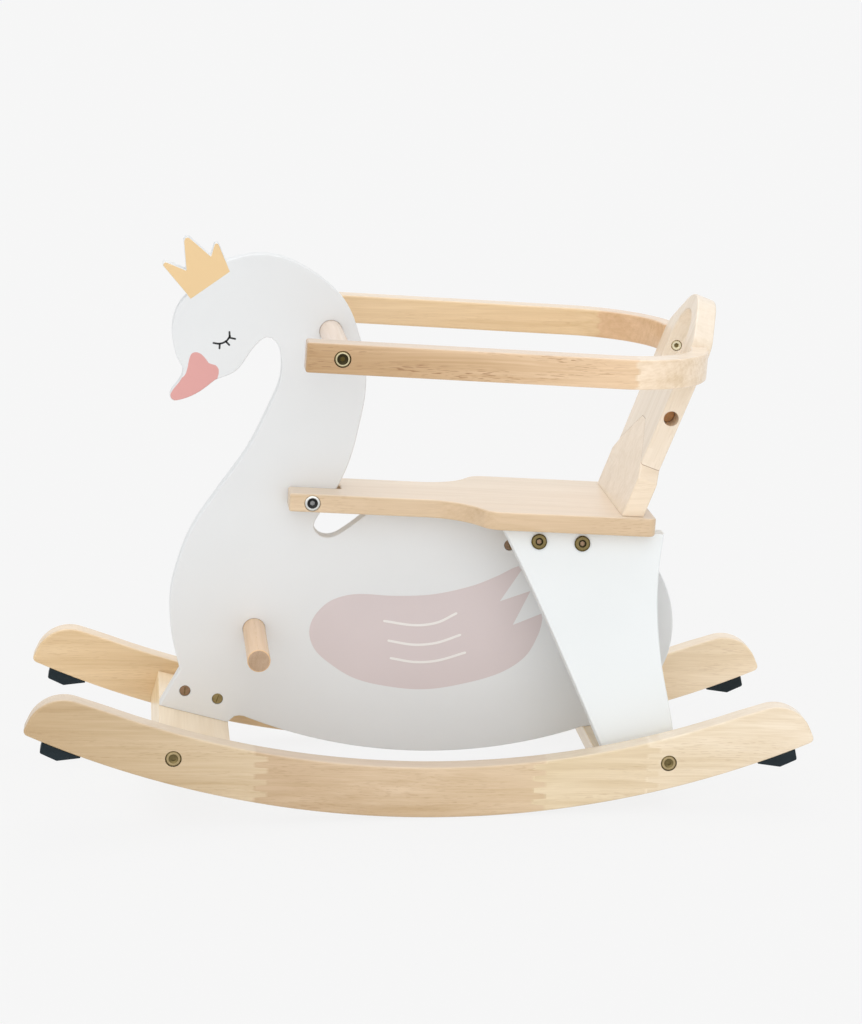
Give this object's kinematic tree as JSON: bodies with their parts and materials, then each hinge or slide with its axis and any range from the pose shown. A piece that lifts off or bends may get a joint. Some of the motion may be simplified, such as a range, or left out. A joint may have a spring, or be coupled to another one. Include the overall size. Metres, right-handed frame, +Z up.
{
  "type": "rocking swan",
  "caption": "Wooden ride-on rocking swan for a toddler: curved rockers, upright swan panel, seat with backrest, guard rails, hand bar and foot bar, all bolted together.",
  "frame": {"origin": "on the floor, under the middle of the toy's length and width", "axes": "+X runs along the rockers towards the backrest, so the swan looks to -X; +Y points to the swan's right; +Z is up"},
  "size_m": [0.751, 0.3306, 0.5426],
  "materials": {
    "natural_wood": "satin clear lacquer",
    "white_paint": "satin paint",
    "black_rubber": "matte",
    "bronzed_steel": "bronze plated"
  },
  "bodies": {
    "root": {"rocker_left": "natural_wood", "rocker_right": "natural_wood", "stop_front_left": "black_rubber", "stop_front_right": "black_rubber", "stop_rear_left": "black_rubber", "stop_rear_right": "black_rubber", "stop_screw_front_left": "bronzed_steel", "stop_screw_front_right": "bronzed_steel", "stop_screw_rear_left": "bronzed_steel", "stop_screw_rear_right": "bronzed_steel", "front_cross_block": "natural_wood", "rear_cross_block": "natural_wood", "rocker_bolt_front_left": "bronzed_steel", "rocker_bolt_front_right": "bronzed_steel", "rocker_bolt_rear_left": "bronzed_steel", "rocker_bolt_rear_right": "bronzed_steel", "rocker_nut_front_left": "bronzed_steel", "rocker_nut_front_right": "bronzed_steel", "rocker_nut_rear_left": "bronzed_steel", "rocker_nut_rear_right": "bronzed_steel", "swan_panel": "white_paint", "panel_bolt_front_inner": "bronzed_steel", "panel_bolt_front_outer": "bronzed_steel", "panel_bolt_rear_inner": "bronzed_steel", "panel_bolt_rear_outer": "bronzed_steel", "panel_nut_front_inner": "bronzed_steel", "panel_nut_front_outer": "bronzed_steel", "panel_nut_rear_inner": "bronzed_steel", "panel_nut_rear_outer": "bronzed_steel", "leg_left": "white_paint", "leg_right": "white_paint", "leg_bolt_left_1": "bronzed_steel", "leg_bolt_left_2": "bronzed_steel", "leg_bolt_right_1": "bronzed_steel", "leg_bolt_right_2": "bronzed_steel", "leg_foot_bolt_left": "bronzed_steel", "leg_foot_bolt_right": "bronzed_steel", "seat_bearer_left": "natural_wood", "seat_bearer_right": "natural_wood", "bearer_screw_left": "bronzed_steel", "bearer_screw_right": "bronzed_steel", "seat_board": "natural_wood", "seat_stud": "bronzed_steel", "seat_nut": "bronzed_steel", "fork_bolt": "bronzed_steel", "fork_nut": "bronzed_steel", "backrest_lower": "natural_wood", "backrest_upper": "natural_wood", "backrest_bolt_left": "bronzed_steel", "backrest_bolt_right": "bronzed_steel", "backrest_nut_left": "bronzed_steel", "backrest_nut_right": "bronzed_steel", "rail_left": "natural_wood", "rail_right": "natural_wood", "rail_bolt_left": "bronzed_steel", "rail_bolt_right": "bronzed_steel", "rail_end_bolt_left": "bronzed_steel", "rail_end_bolt_right": "bronzed_steel", "hand_bar": "natural_wood", "foot_bar": "natural_wood"}
  },
  "joints": []
}
